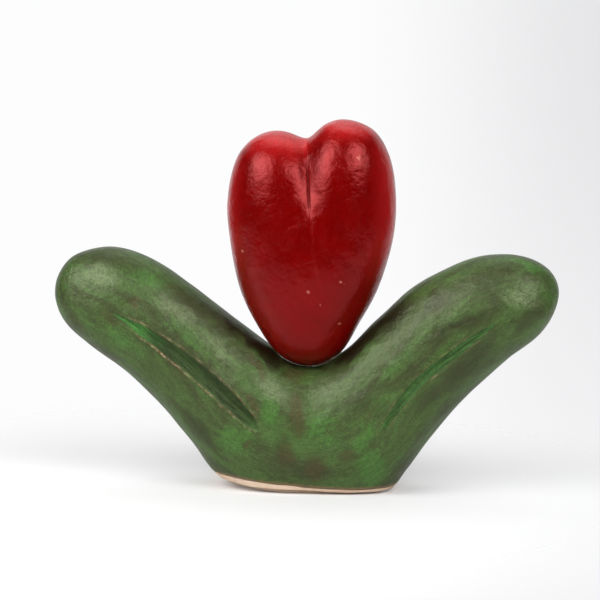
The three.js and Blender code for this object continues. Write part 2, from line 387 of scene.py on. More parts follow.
def along(one_rail, shares):
    known, points = one_rail
    return np.stack([np.interp(shares, known, column) for column in points.T], -1)


def tip_steps(count):
    """Shares of the way between two tips, close together near them."""
    steps = np.arange(1, count + 1) / (count + 1)
    return steps - TIP_CROWDING * np.sin(2 * np.pi * steps) / (2 * np.pi)


def crowded(fine, steps, middle, width, gain):
    """Places in the range of fine, one for each of the steps, close together near the middle."""
    density = 1 + gain * bell(fine - middle, width)
    total = np.concatenate([[0], np.cumsum((density[1:] + density[:-1]) / 2)])
    return np.interp(steps * total[-1], total, fine)


LEAF_RAILS = rails_of(LEAF_OUTLINE)


def leaf_sections(shares):
    """Centre, half height vector, half depth and sweep of the leaf body's oval sections."""
    top = along(LEAF_RAILS[0], shares)
    bottom = along(LEAF_RAILS[1], shares)
    across = (top - bottom) / 2
    middle_share = 1 - smoothstep(np.abs(shares - 0.5), 0, BODY_REACH)
    limit = LEAF_HALF_DEPTH + (BODY_HALF_DEPTH - LEAF_HALF_DEPTH) * middle_share
    depth = soft_cap(np.linalg.norm(across, axis=-1), limit)
    sweep = LEFT_SWEEP * smoothstep(0.5 - shares, 0, BODY_REACH)
    return (top + bottom) / 2, across, depth, sweep


def leaf_skin(shares, turns):
    """Points of the leaf body's skin; turns go once round from the lower rail by the front."""
    centre, across, depth, sweep = leaf_sections(shares)
    power = 2 / LEAF_SQUARENESS
    up = -signed_power(np.cos(2 * np.pi * turns), power)
    back = -signed_power(np.sin(2 * np.pi * turns), power)
    x = centre[..., 0] + across[..., 0] * up
    sag = LEAF_SAG * smoothstep(np.abs(shares - 0.5), 0, BODY_REACH)
    y = sweep + depth * back * (1 - sag * up)
    z = centre[..., 1] + across[..., 1] * up
    return np.stack([x, y, z], -1)


def share_and_turn(x, z):
    """Where on the leaf body's front skin the point [x, z] of the front view lies."""
    low, high = (0.02, 0.5) if x < 0 else (0.5, 0.98)
    for _ in range(30):
        middle = (low + high) / 2
        centre, across, _, _ = leaf_sections(np.array(middle))
        ahead = across[1] * (x - centre[0]) - across[0] * (z - centre[1])
        if ahead > 0:
            low = middle
        else:
            high = middle
    centre, across, _, _ = leaf_sections(np.array(low))
    up = ((x - centre[0]) * across[0] + (z - centre[1]) * across[1]) / (across @ across)
    cosine = signed_power(-up, LEAF_SQUARENESS / 2)
    return low, math.acos(max(-1, min(1, cosine))) / (2 * math.pi)


def noise_at(points, size, seed=0):
    """Smooth noise from about -1 to 1 whose bumps are about size wide."""
    shift = Vector((seed * 17.3, seed * 5.1, seed * 9.7))
    return np.array([noise.noise(Vector(p) / size + shift) for p in points.reshape(-1, 3)])


def grid_normals(grid):
    """Outward normals of a grid that is open along its first axis and closed along its second."""
    ahead = np.gradient(grid, axis=0)
    around = np.roll(grid, -1, axis=1) - np.roll(grid, 1, axis=1)
    normals = np.cross(ahead, around)
    lengths = np.linalg.norm(normals, axis=-1, keepdims=True)
    return normals / np.maximum(lengths, 1e-9)


def band_faces(columns, rows, first=0, ring=False):
    """Quads of a grid closed along its rows; a ring's last column joins its first."""
    faces = []
    for i in range(columns if ring else columns - 1):
        here = first + i * rows
        there = first + (i + 1) % columns * rows
        for j in range(rows):
            k = (j + 1) % rows
            faces.append((here + j, here + k, there + k, there + j))
    return faces


def grid_faces(columns, rows):
    """Quads of a grid closed along its rows, with a fan of triangles at both poles."""
    last = columns * rows + 1
    faces = []
    for j in range(rows):
        k = (j + 1) % rows
        faces.append((0, 1 + k, 1 + j))
        faces.append((last, last - rows + j, last - rows + k))
    return faces + band_faces(columns, rows, first=1)


def with_poles(grid, finish):
    """The points and the finish of a grid, with a pole added at each of its open ends."""
    points = np.vstack([[grid[0].mean(axis=0)], grid.reshape(-1, 3), [grid[-1].mean(axis=0)]])
    return points, {key: np.concatenate([[0], values, [0]]) for key, values in finish.items()}


def vein_profile(points, vein):
    """Depth of the cut, height of the ridge, and shares of groove, torn clay and fresh glaze."""
    line = open_spline(vein["path"], VEIN_STEPS)
    shares, _ = rail(line)
    flat = points[:, [0, 2]]
    gaps = np.linalg.norm(flat[:, None, :] - line[None, :, :], axis=-1)
    nearest = gaps.argmin(axis=1)
    share = shares[nearest]
    gap = gaps[np.arange(len(points)), nearest] + VEIN_WAVER * noise_at(points, 6, 3)
    half_width = table_at(vein["widths"], share) / 2
    depth = table_at(vein["depths"], share)
    inside = np.clip(1 - gap / half_width, 0, 1)
    soft = inside * inside * (3 - 2 * inside)
    cut = vein["sharp"] * inside**WALL_POWER + (1 - vein["sharp"]) * soft
    rough = 0.5 + 1.3 * noise_at(points, 5, 5) + 0.5 * noise_at(points, 1.6, 6)
    ends = smoothstep(share, 0.03, 0.2) * (1 - smoothstep(share, 0.93, 1))
    torn = bell(gap - half_width - RIDGE_PLACE, RIDGE_WIDTH) * ends * np.clip(rough, 0.05, 1.4)
    groove = smoothstep(inside, 0, 0.25) * (depth > 0.05)
    fresh = table_at(vein["fresh"], share) * groove
    return depth * cut, vein["burr"] * torn, groove, torn, fresh


def patch_strengths(points):
    """How strongly each point lies in each colour's patches, whose edges are ragged."""
    from_middle = points[:, 1] - LEFT_SWEEP * smoothstep(-points[:, 0], 0, SWEEP_REACH)
    side = np.where(from_middle < 0, 1, -1)
    x = points[:, 0] * side + PATCH_WAVER * noise_at(points, PATCH_BUMPS, 11)
    z = points[:, 2] + PATCH_WAVER * noise_at(points, PATCH_BUMPS, 12)
    fade = smoothstep(np.abs(from_middle), *PATCH_FADE)
    strengths = {}
    for name, patches in PATCHES.items():
        total = np.zeros(len(points))
        for centre_x, centre_z, length, width, tilt, strength in patches:
            turn = math.radians(tilt)
            ahead = (x - centre_x) * math.cos(turn) + (z - centre_z) * math.sin(turn)
            aside = (z - centre_z) * math.cos(turn) - (x - centre_x) * math.sin(turn)
            away = (ahead / length) ** 2 + (aside / width) ** 2
            total = np.maximum(total, strength * np.exp(-(away**PATCH_POWER)))
        strengths[name] = total * fade
    return strengths


def leaf_grid():
    """Shares and turns of the leaf body's columns and rows, and its even skin."""
    shares = tip_steps(LEAF_COLUMNS)
    marks = [share_and_turn(x, z) for x, z in LEFT_VEIN]
    marks += [share_and_turn(x, z) for x, z in reversed(RIGHT_VEIN)]
    line_turn = smoothed(table_at(marks, shares), VEIN_SMOOTHING, "edge")
    fine = np.linspace(0, 0.5, 400)
    steps = np.arange(FRONT_ROWS) / FRONT_ROWS
    front = np.array([crowded(fine, steps, turn, *VEIN_CROWDING) for turn in line_turn])
    back = 0.5 + np.tile(np.arange(BACK_ROWS) / BACK_ROWS * 0.5, (LEAF_COLUMNS, 1))
    turns = np.hstack([front, back])
    return shares, turns, leaf_skin(shares[:, None], turns)


shares, turns, skin = leaf_grid()
drawn_low = skin.reshape(-1, 3).min(axis=0)
drawn_high = skin.reshape(-1, 3).max(axis=0)
body_low, body_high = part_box("leaf_body")
SHIFT = np.array([
    (body_low[0] + body_high[0]) * 500 - (drawn_low[0] + drawn_high[0]) / 2,
    (body_low[1] + body_high[1]) * 500 - (drawn_low[1] + drawn_high[1]) / 2,
    0,
])


def to_row(points):
    return (points + SHIFT) / 1000


def mesh_object(name, points, faces, attributes=None):
    """A smooth-shaded object in the row frame, with float or vector attributes on its points."""
    mesh = bpy.data.meshes.new(name)
    mesh.from_pydata(to_row(points).tolist(), [], faces)
    for key, values in (attributes or {}).items():
        kind, field = ("FLOAT", "value") if values.ndim == 1 else ("FLOAT_VECTOR", "vector")
        layer = mesh.attributes.new(key, kind, "POINT")
        layer.data.foreach_set(field, values.astype(np.float32).ravel())
    mesh.shade_smooth()
    mesh.update()
    made = bpy.data.objects.new(name, mesh)
    bpy.context.scene.collection.objects.link(made)
    return made


def outward(points, faces):
    """The faces, turned over if they would face inwards."""
    mesh = bpy.data.meshes.new("turning")
    mesh.from_pydata(points.tolist(), [], faces)
    sheet = bmesh.new()
    sheet.from_mesh(mesh)
    inside_out = sheet.calc_volume(signed=True) < 0
    sheet.free()
    bpy.data.meshes.remove(mesh)
    return [face[::-1] for face in faces] if inside_out else faces


# Bud

def lobe_tree(outline):
    """A fine skin of one lobe, to be met by rays."""
    upper, lower = rails_of(outline)
    shares = tip_steps(LOBE_SECTIONS)
    top = along(upper, shares)
    bottom = along(lower, shares)
    across = (top - bottom)[:, None, :] / 2
    depth = soft_cap(np.linalg.norm(across, axis=-1) * LOBE_ROUNDNESS, BUD_HALF_DEPTH)
    angles = 2 * np.pi * np.arange(LOBE_SIDES) / LOBE_SIDES
    centre = (top + bottom)[:, None, :] / 2
    x = centre[..., 0] + across[..., 0] * np.cos(angles)
    z = centre[..., 1] + across[..., 1] * np.cos(angles)
    y = depth * np.sin(angles)
    points = np.stack([x, y, z], -1).reshape(-1, 3)
    first, last = [[outline[tip][0], 0, outline[tip][1]] for tip in ("start", "end")]
    points = np.vstack([[first], points, [last]])
    return BVHTree.FromPolygons(points.tolist(), grid_faces(LOBE_SECTIONS, LOBE_SIDES))


def ray_lengths(tree, directions):
    heart = Vector(BUD_HEART)
    flat = directions.reshape(-1, 3)
    hits = [tree.ray_cast(heart, Vector(direction))[3] for direction in flat]
    return np.array(hits, float).reshape(directions.shape[:-1])


def bud_directions(latitudes, longitudes):
    """Unit vectors; latitude runs from the left side to the right, longitude round that line."""
    latitudes, longitudes = np.broadcast_arrays(latitudes, longitudes)
    x = -np.cos(latitudes)
    y = -np.sin(latitudes) * np.cos(longitudes)
    z = np.sin(latitudes) * np.sin(longitudes)
    return np.stack([x, y, z], -1)


def bud_grid():
    """Rays from the bud's heart, their lengths to its skin, and the skin's gap to the crease."""
    trees = [lobe_tree(LEFT_LOBE), lobe_tree(RIGHT_LOBE)]
    longitudes = 2 * np.pi * np.arange(BUD_COLUMNS) / BUD_COLUMNS
    rough_latitudes = np.linspace(0.15, 0.85, 41) * np.pi
    rays = bud_directions(rough_latitudes[:, None], longitudes[None, :])
    lead = ray_lengths(trees[0], rays) - ray_lengths(trees[1], rays)
    crease = [np.interp(0, -column, rough_latitudes) for column in lead.T]
    crease = smoothed(np.array(crease), RING_SMOOTHING, "wrap")
    fine = np.linspace(0, np.pi, 800)
    steps = np.arange(1, BUD_ROWS + 1) / (BUD_ROWS + 1)
    latitudes = np.array([crowded(fine, steps, middle, *CREASE_CROWDING) for middle in crease]).T
    rays = bud_directions(latitudes, longitudes[None, :])
    left = ray_lengths(trees[0], rays)
    right = ray_lengths(trees[1], rays)
    height = BUD_HEART[2] + rays[..., 2] * np.maximum(left, right)
    softness = table_at(CREASE_SOFTNESS, height)
    blend = np.clip(0.5 + 0.5 * (left - right) / softness, 0, 1)
    reach = right + (left - right) * blend + softness * blend * (1 - blend)
    return rays, reach, (latitudes - crease[None, :]) * reach


def bud_unevenness(points):
    """Broad dents, and small lumps that grow towards the top."""
    size, seed, rise = BUD_DENTS
    total = rise * noise_at(points, size, seed)
    top_share = smoothstep(points[:, 2], *LUMPS_GROW)
    for size, seed, squeeze, rise, low_share in BUD_LUMPS:
        total += rise * noise_at(points * [1, 1, squeeze], size, seed) * (low_share + top_share)
    return total


def shoulder_relief(gap, height):
    total = np.zeros(len(gap))
    for place, inner, outer, rise, start, full, fading, end in SHOULDERS:
        share = smoothstep(height, start, full) * (1 - smoothstep(height, fading, end))
        width = np.where(gap * np.sign(place) < abs(place), inner, outer)
        total += rise * share * bell(gap - place, width)
    return total


def pinhole_relief(points):
    """Rise and fall of the skin at the pinholes, and how much pale clay shows there."""
    relief = np.zeros(len(points))
    pit = np.zeros(len(points))
    for x, z, radius, depth in PINHOLES:
        away = np.hypot(points[:, 0] - x, points[:, 2] - z) / radius
        relief += depth * (RIM_HEIGHT * bell(away - RIM_PLACE, RING_WIDTH) - bell(away, 1))
        pit = np.maximum(pit, bell(away - RING_PLACE, RING_WIDTH))
    return relief, pit


def painted_light_share(grid, height):
    """How much painted light lightens the red, on the top and on the sides."""
    facing = np.abs(grid_normals(grid)).reshape(-1, 3)
    painted_light = smoothstep(facing[:, 2] + 0.12 * noise_at(grid, 9, 13), *TOP_LIGHT_FACING)
    side = smoothstep(facing[:, 0], *SIDE_LIGHT_FACING) * smoothstep(height, *SIDE_LIGHT_HEIGHTS)
    return np.maximum(painted_light * smoothstep(height, *TOP_LIGHT_HEIGHTS), SIDE_LIGHT_SHARE * side)


def build_bud():
    rays, reach, from_crease = bud_grid()
    heart = np.array(BUD_HEART)
    points = (heart + rays * reach[..., None]).reshape(-1, 3)
    height = points[:, 2]
    front = points[:, 1] < 0
    gap = from_crease.ravel()
    relief, pit = pinhole_relief(points)
    lumps = bud_unevenness(points) + (shoulder_relief(gap, height) + relief) * front
    valley = table_at(VALLEY_DEPTH, height) * bell(gap, VALLEY_WIDTH)
    cut_depth = table_at(CUT_DEPTH, height)
    fold = bell(gap, CUT_WIDTH)
    moved = reach.ravel() + lumps - valley - cut_depth * fold
    grid = heart + rays * moved.reshape(reach.shape)[..., None]
    finish = {
        "pit": pit * front,
        # the crease's fine cut: painted shade darkens the red there, and it is rougher
        "crease": fold * np.clip(cut_depth, 0, 1),
        # painted light on the bud's top and sides
        "painted_light": painted_light_share(grid, height),
    }
    points, attributes = with_poles(grid, finish)
    return points, outward(points, grid_faces(BUD_ROWS, BUD_COLUMNS)), attributes


bud_points, bud_faces, bud_attributes = build_bud()
bud_tree = BVHTree.FromPolygons(bud_points.tolist(), bud_faces)


def bud_underside(x, y):
    """Height of the bud's lower surface over [x, y], or None beside the bud."""
    hit = bud_tree.ray_cast(Vector((x, y, 0)), Vector((0, 0, 1)))
    return hit[0].z if hit[0] else None


def dress_bud():
    bud = mesh_object("bud_glazed", bud_points, bud_faces, bud_attributes)
    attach(bud, "root")
    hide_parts("bud_shell")
    return bud


# Leaf body and foot

def foot_height(x):
    share = np.maximum(0, (x - FOOT_LIFT_FROM) / (FOOT_LIFT_TO - FOOT_LIFT_FROM))
    return FOOT_LIFT * share**FOOT_LIFT_POWER


def strip_height(x, y):
    """How far the glaze line rises, with its small waves along the foot."""
    angle = np.arctan2(y, x)
    waves = sum(share * np.sin(count * angle + start) for share, count, start in GLAZE_WAVES)
    return table_at(STRIP_RISE, x) + GLAZE_WAVE * waves


def undercut_height(x, _):
    return table_at(UNDERCUT_LINE, x)


def uneven_leaf():
    """The leaf body's points with its dents, veins and seat, and what the glaze needs to know."""
    normals = grid_normals(skin)
    centre = skin.mean(axis=1, keepdims=True)
    if np.mean(np.sum(normals * (skin - centre), axis=-1)) < 0:
        normals = -normals
    points = skin.reshape(-1, 3)
    flat = points[:, [0, 2]]
    height = sum(rise * noise_at(points, size, seed) for size, seed, rise in DENTS)
    groove, burr, fresh = np.zeros((3, len(points)))
    side = np.where(turns.ravel() < 0.5, -1, 1)
    for vein in VEINS:
        path = np.array(vein["path"])
        low = path.min(axis=0) - VEIN_MARGIN
        high = path.max(axis=0) + VEIN_MARGIN
        near = np.all((flat > low) & (flat < high), axis=1) & (side == vein["side"])
        picked = np.flatnonzero(near)
        cut, ridge, inside, torn, bright = vein_profile(points[picked], vein)
        height[picked] += ridge - cut
        groove[picked] = np.maximum(groove[picked], inside)
        fresh[picked] = np.maximum(fresh[picked], bright)
        burr[picked] = np.maximum(burr[picked], torn * min(1, vein["burr"] * RIDGE_BARE))
    finish = {"groove": groove, "fresh": fresh, "burr": burr, **patch_strengths(points)}
    above = points[:, 2] - strip_height(points[:, 0], points[:, 1])
    finish["edge"] = 1 - smoothstep(above, GLAZE_EDGE, GLAZE_EDGE + EDGE_BAND)
    points = points + normals.reshape(-1, 3) * height[:, None]
    seat = (np.abs(points[:, 0]) < SEAT_HALF_WIDTH) & (points[:, 2] > SEAT_FROM)
    for index in np.flatnonzero(seat):
        x, y, z = points[index]
        under = bud_underside(x, y)
        if under is not None:
            points[index, 2] = min(z, under - FIT_GAP)
    return points, finish


def build_leaf_body():
    points, finish = uneven_leaf()
    middle, across, depth, _ = leaf_sections(shares)
    length = np.concatenate([[0], np.cumsum(np.linalg.norm(np.diff(middle, axis=0), axis=1))])
    up = -np.cos(2 * np.pi * turns) * np.linalg.norm(across, axis=1)[:, None]
    back = -np.sin(2 * np.pi * turns) * depth[:, None]
    grain = np.stack([np.broadcast_to(length[:, None], up.shape), up, back], -1).reshape(-1, 3)
    points, attributes = with_poles(points.reshape(skin.shape), finish)
    attributes["grain"] = np.vstack([[[0, 0, 0]], grain, [[length[-1], 0, 0]]])
    return points, outward(points, grid_faces(*turns.shape)), attributes


def level_points(sheet, line, sign):
    """Straightens a line's rise out of a mesh, or puts it back."""
    for vertex in sheet.verts:
        x, y, _ = vertex.co * 1000
        vertex.co.z -= sign * line(x - SHIFT[0], y - SHIFT[1]) / 1000


def cut_level(sheet, height, clear_below=False, clear_above=False):
    """Cuts the mesh at a height above the levelled foot."""
    bmesh.ops.bisect_plane(
        sheet,
        geom=sheet.verts[:] + sheet.edges[:] + sheet.faces[:],
        dist=1e-7,
        plane_co=(0, 0, height / 1000),
        plane_no=(0, 0, 1),
        clear_inner=clear_below,
        clear_outer=clear_above,
    )


def close_holes(sheet):
    rims = [edge for edge in sheet.edges if edge.is_boundary]
    filled = bmesh.ops.holes_fill(sheet, edges=rims, sides=0)
    bmesh.ops.triangulate(sheet, faces=filled["faces"])


def shrink_rows(sheet, inset_at):
    """Moves points sideways, in towards the foot's middle line, by inset_at(height) in mm."""
    sheet.normal_update()
    for vertex in sheet.verts:
        inset = inset_at(vertex.co.z * 1000)
        if inset > 0:
            away = Vector((vertex.normal.x, vertex.normal.y, 0))
            if away.length > 0.3:
                vertex.co -= away.normalized() * inset / 1000


def rounding(distance, height, inset):
    """How far a rounded edge draws in at a distance from it."""
    share = max(0, 1 - distance / height)
    return inset * share * share


def glaze_inset(height):
    if height < GLAZE_EDGE - CUT_TOLERANCE:
        return 0
    return rounding(height - GLAZE_EDGE, *GLAZE_ROUNDING)


def undercut_inset(height):
    """The foot is cut back under the strip, whose lower edge is rounded."""
    if height < CUT_TOLERANCE:
        return UNDERCUT
    return STRIP_INSET + rounding(height, *STRIP_ROUNDING)


def strip_top_inset(height):
    return rounding(SLAB_EDGE - height, *STRIP_TOP_ROUNDING)


def sheet_of(piece):
    sheet = bmesh.new()
    sheet.from_mesh(piece.data)
    return sheet


def put_back(sheet, piece):
    sheet.to_mesh(piece.data)
    sheet.free()
    piece.data.shade_smooth()


leaf_points, leaf_faces, leaf_attributes = build_leaf_body()


def dress_leaf_body():
    body = mesh_object("leaf_body_glazed", leaf_points, leaf_faces, leaf_attributes)
    sheet = sheet_of(body)
    level_points(sheet, strip_height, 1)
    cut_level(sheet, GLAZE_EDGE, clear_below=True)
    for step in GLAZE_CUTS:
        cut_level(sheet, GLAZE_EDGE + step)
    shrink_rows(sheet, glaze_inset)
    close_holes(sheet)
    level_points(sheet, strip_height, -1)
    put_back(sheet, body)
    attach(body, "root")
    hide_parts("leaf_body")
    return body


def dress_foot_slab():
    slab = mesh_object("foot_slab_bare", leaf_points, leaf_faces)
    sheet = sheet_of(slab)
    level_points(sheet, undercut_height, 1)
    cut_level(sheet, -BELOW_UNDERCUT, clear_below=True)
    for step in (-UNDERCUT_SHADE_HEIGHT, -UNDERCUT_SHADE_HEIGHT / 2, -0.2, 0, *STRIP_CUTS, 0.5):
        cut_level(sheet, step)
    shrink_rows(sheet, undercut_inset)
    # painted shade on the foot, darkest just under the strip and fading out downwards
    undercut_shade = sheet.verts.layers.float.new("undercut_shade")
    for vertex in sheet.verts:
        under = 2 * CUT_TOLERANCE - vertex.co.z * 1000
        vertex[undercut_shade] = max(0, 1 - under / UNDERCUT_SHADE_HEIGHT) if under > 0 else 0
    level_points(sheet, undercut_height, -1)
    level_points(sheet, strip_height, 1)
    cut_level(sheet, SLAB_EDGE, clear_above=True)
    for step in STRIP_CUTS:
        cut_level(sheet, SLAB_EDGE - step)
    shrink_rows(sheet, strip_top_inset)
    close_holes(sheet)
    level_points(sheet, strip_height, -1)
    for vertex in sheet.verts:
        ground = foot_height(vertex.co.x * 1000 - SHIFT[0]) / 1000
        vertex.co.z = max(vertex.co.z, ground)
    put_back(sheet, slab)
    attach(slab, "root")
    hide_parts("foot_slab")
    return slab


# Glue

def joint_line():
    """Points along the joint, where the bud's surface comes out of the saddle."""
    tree = BVHTree.FromPolygons(skin.reshape(-1, 3).tolist(), band_faces(*turns.shape))
    middle = (LEFT_LOBE["start"][0] + RIGHT_LOBE["start"][0]) / 2
    line = []
    for k in range(BEAD_STEPS):
        angle = 2 * math.pi * k / BEAD_STEPS
        low, high = 0, JOINT_REACH
        for _ in range(24):
            reach = (low + high) / 2
            x = middle + reach * math.cos(angle)
            y = reach * math.sin(angle)
            under = bud_underside(x, y)
            hit = tree.ray_cast(Vector((x, y, ABOVE_ALL)), Vector((0, 0, -1)))[0]
            if under is not None and hit and under < hit.z + FIT_GAP:
                low = reach
            else:
                high = reach
        line.append([x, y, bud_underside(x, y) or hit.z])
    return np.array(line)


def dress_glue():
    line = joint_line()
    line = np.stack([smoothed(column, RING_SMOOTHING, "wrap") for column in line.T], -1)
    ahead = np.roll(line, -1, axis=0) - np.roll(line, 1, axis=0)
    ahead = ahead / np.linalg.norm(ahead, axis=1, keepdims=True)
    out = (line - line.mean(axis=0)) * [1, 1, 0]
    out = out - ahead * np.sum(out * ahead, axis=1, keepdims=True)
    out = out / np.linalg.norm(out, axis=1, keepdims=True)
    up = np.cross(ahead, out)
    azimuth = np.degrees(np.arctan2(line[:, 1], line[:, 0]))
    radius = BEAD_RADIUS * (1 + BEAD_UNEVENNESS * noise_at(line, 7, 4))
    radius += (BLOB_RADIUS - BEAD_RADIUS) * bell(azimuth - BLOB_AZIMUTH, BLOB_HALF_WIDTH)
    sides = 2 * np.pi * np.arange(BEAD_SIDES)[:, None] / BEAD_SIDES
    ring = out[:, None] * np.cos(sides) + up[:, None] * np.sin(sides)
    points = (line[:, None] + ring * radius[:, None, None]).reshape(-1, 3)
    faces = band_faces(BEAD_STEPS, BEAD_SIDES, ring=True)
    bead = mesh_object("glue_bead_clear", points, outward(points, faces))
    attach(bead, "root")
    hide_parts("glue_bead")
    return bead


# Materials

GREEN_DEEP = (0.038, 0.049, 0.016)
GREEN_PLAIN = (0.054, 0.105, 0.025)
# painted shade in the veins' cuts
GROOVE_SHADE = (0.016, 0.028, 0.007)
GROOVE_FRESH = (0.028, 0.11, 0.018)
TORN_DARK = (0.1, 0.055, 0.022)
TORN_PALE = (0.36, 0.26, 0.15)
EDGE_CLAY = (0.19, 0.115, 0.055)

# Colours in the patches: broken glaze, painted sheen in the pale ones, painted shade in the dark
# ones and partly in the olive ones, as [colour, how much it covers, how ragged it is]
PATCH_GLAZE_AND_LIGHT = {
    "bright": [(0.05, 0.14, 0.024), 0.7, 1],
    "olive_and_shade": [(0.028, 0.033, 0.011), 0.8, 1],
    "painted_sheen": [(0.17, 0.21, 0.11), 0.5, 0.4],
    "brown": [(0.05, 0.036, 0.014), 0.75, 1],
    "painted_shade": [(0.009, 0.006, 0.002), 0.95, 1],
}

RED_DEEP = (0.13, 0.0003, 0.0002)
RED_PLAIN = (0.16, 0.0006, 0.0004)
# painted light on the bud's top and sides
RED_PAINTED_LIGHT = (0.43, 0.011, 0.012)
RED_PIT = (0.45, 0.14, 0.11)
# painted shade in the crease's fine cut
RED_CREASE_SHADE = (0.05, 0.0003, 0.0002)

CLAY_PALE = (0.8, 0.61, 0.46)
CLAY_WARM = (0.64, 0.46, 0.32)
CLAY_GRIT = (0.3, 0.2, 0.12)
# painted shade under the strip
CLAY_UNDERCUT_SHADE = (0.1, 0.04, 0.02)

GLUE_CLEAR = (0.95, 0.9, 0.82)
GLUE_CLOUDY = (0.85, 0.78, 0.68)
WOOD_PALE = (0.56, 0.38, 0.22)
WOOD_DARK = (0.38, 0.24, 0.13)


class Nodes:
    """A node tree, with short calls for the nodes that the finishes and the studio share."""

    def __init__(self, tree):
        self.tree = tree

    def new(self, kind, **inputs):
        node = self.tree.nodes.new(kind)
        for name, value in inputs.items():
            self.feed(node.inputs[name.replace("_", " ")], value)
        return node

    def feed(self, socket, value):
        if isinstance(value, bpy.types.NodeSocket):
            self.tree.links.new(value, socket)
        else:
            socket.default_value = value

    def math(self, operation, a, b):
        node = self.new("ShaderNodeMath")
        node.operation = operation
        self.feed(node.inputs[0], a)
        self.feed(node.inputs[1], b)
        return node.outputs[0]

    def add(self, base, value, factor):
        """base plus factor times value."""
        return self.math("ADD", base, self.math("MULTIPLY", value, factor))

    def span(self, value, low, high, to_low=0.0, to_high=1.0):
        """Goes smoothly from to_low to to_high while value goes from low to high."""
        ends = {"From_Min": low, "From_Max": high, "To_Min": to_low, "To_Max": to_high}
        node = self.new("ShaderNodeMapRange", Value=value, **ends)
        node.interpolation_type = "SMOOTHSTEP"
        return node.outputs[0]

    def blend(self, share, a, b):
        """A number between a and b."""
        return self.new("ShaderNodeMix", Factor=share, A=a, B=b).outputs["Result"]

    def mix(self, share, a, b):
        """A colour between a and b."""
        node = self.new("ShaderNodeMix")
        node.data_type = "RGBA"
        self.feed(node.inputs["Factor"], share)
        for name, color in (("A", a), ("B", b)):
            self.feed(node.inputs[name], (*color, 1) if isinstance(color, tuple) else color)
        return node.outputs["Result"]


class Shader(Nodes):
    """A material's node tree."""

    def __init__(self, name):
        self.material = bpy.data.materials.new(name)
        self.material.use_nodes = True
        super().__init__(self.material.node_tree)
        self.surface = self.tree.nodes["Principled BSDF"]
        self.place = self.new("ShaderNodeTexCoord").outputs["Object"]

    def attribute(self, name, output="Fac"):
        node = self.new("ShaderNodeAttribute")
        node.attribute_name = name
        return node.outputs[output]

    def stretch(self, vector, scale):
        return self.new("ShaderNodeMapping", Vector=vector, Scale=scale).outputs[0]

    def noise(self, vector, scale, detail, rough=0.5, warp=0.0):
        look = {"Scale": scale, "Detail": detail, "Roughness": rough, "Distortion": warp}
        return self.new("ShaderNodeTexNoise", Vector=vector, **look).outputs["Fac"]

    def scale(self, color, factor):
        node = self.new("ShaderNodeVectorMath")
        node.operation = "SCALE"
        self.feed(node.inputs[0], color)
        self.feed(node.inputs["Scale"], factor)
        return node.outputs[0]

    def bump(self, height, distance, **under):
        return self.new("ShaderNodeBump", Distance=distance, Height=height, **under).outputs[0]

    def finish(self, color, roughness, normal):
        self.feed(self.surface.inputs["Base Color"], color)
        self.feed(self.surface.inputs["Roughness"], roughness)
        self.feed(self.surface.inputs["Normal"], normal)
        return self.material


def green_glaze():
    shader = Shader("green_glaze")
    grain = shader.stretch(shader.attribute("grain", "Vector"), (0.35, 1, 1))
    broad = shader.noise(grain, 0.07, 5, 0.65, 0.8)
    streaks = shader.noise(grain, 0.4, 5, 0.7, 0.6)
    flecks = shader.noise(shader.place, 420, 3, 0.7)
    specks = shader.noise(shader.place, 1500, 2, 0.6)
    break_up = shader.add(shader.math("MULTIPLY", flecks, 0.9), streaks, 0.7)
    break_up = shader.math("SUBTRACT", shader.add(break_up, specks, 0.4), 1)

    def ragged(name, share, wear=1):
        edge = shader.add(shader.attribute(name), break_up, wear)
        return shader.span(edge, 0.15, 0.85, 0, share)

    tone = shader.add(broad, streaks, 0.4)
    color = shader.mix(shader.span(tone, 0.54, 0.86), GREEN_DEEP, GREEN_PLAIN)
    # lays the patches over the glaze: broken glaze, painted sheen and painted shade
    for name, (patch_color, share, wear) in PATCH_GLAZE_AND_LIGHT.items():
        color = shader.mix(ragged(name, share, wear), color, patch_color)
    long_grain = shader.stretch(shader.attribute("grain", "Vector"), (0.05, 1, 1))
    strokes = shader.noise(long_grain, 1.1, 3, 0.6)
    # painted shade darkens the glaze in the veins' cuts; where it is fresh it is brighter green
    groove = shader.mix(shader.attribute("fresh"), GROOVE_SHADE, GROOVE_FRESH)
    groove = shader.scale(groove, shader.span(strokes, 0.35, 0.65, 0.5, 1.6))
    color = shader.scale(color, shader.span(strokes, 0.35, 0.65, 0.9, 1.1))
    color = shader.mix(shader.math("MULTIPLY", shader.attribute("groove"), 0.88), color, groove)
    color = shader.scale(color, shader.span(specks, 0.3, 0.7, 0.78, 1.22))
    color = shader.scale(color, shader.span(flecks, 0.3, 0.7, 0.86, 1.15))
    torn = shader.mix(shader.span(flecks, 0.45, 0.62), TORN_DARK, TORN_PALE)
    color = shader.mix(shader.attribute("burr"), color, torn)
    color = shader.mix(ragged("edge", 0.9), color, EDGE_CLAY)
    roughness = shader.span(streaks, 0.35, 0.65, 0.36, 0.44)
    roughness = shader.add(roughness, shader.attribute("groove"), 0.35)
    normal = shader.bump(shader.noise(shader.place, 700, 3, 0.6), 0.0002)
    normal = shader.bump(shader.noise(shader.place, 160, 3, 0.5), 0.0008, Normal=normal)
    shader.surface.inputs["Specular IOR Level"].default_value = 0.43
    shader.surface.inputs["Specular Tint"].default_value = (0.9, 1, 0.7, 1)
    return shader.finish(color, roughness, normal)


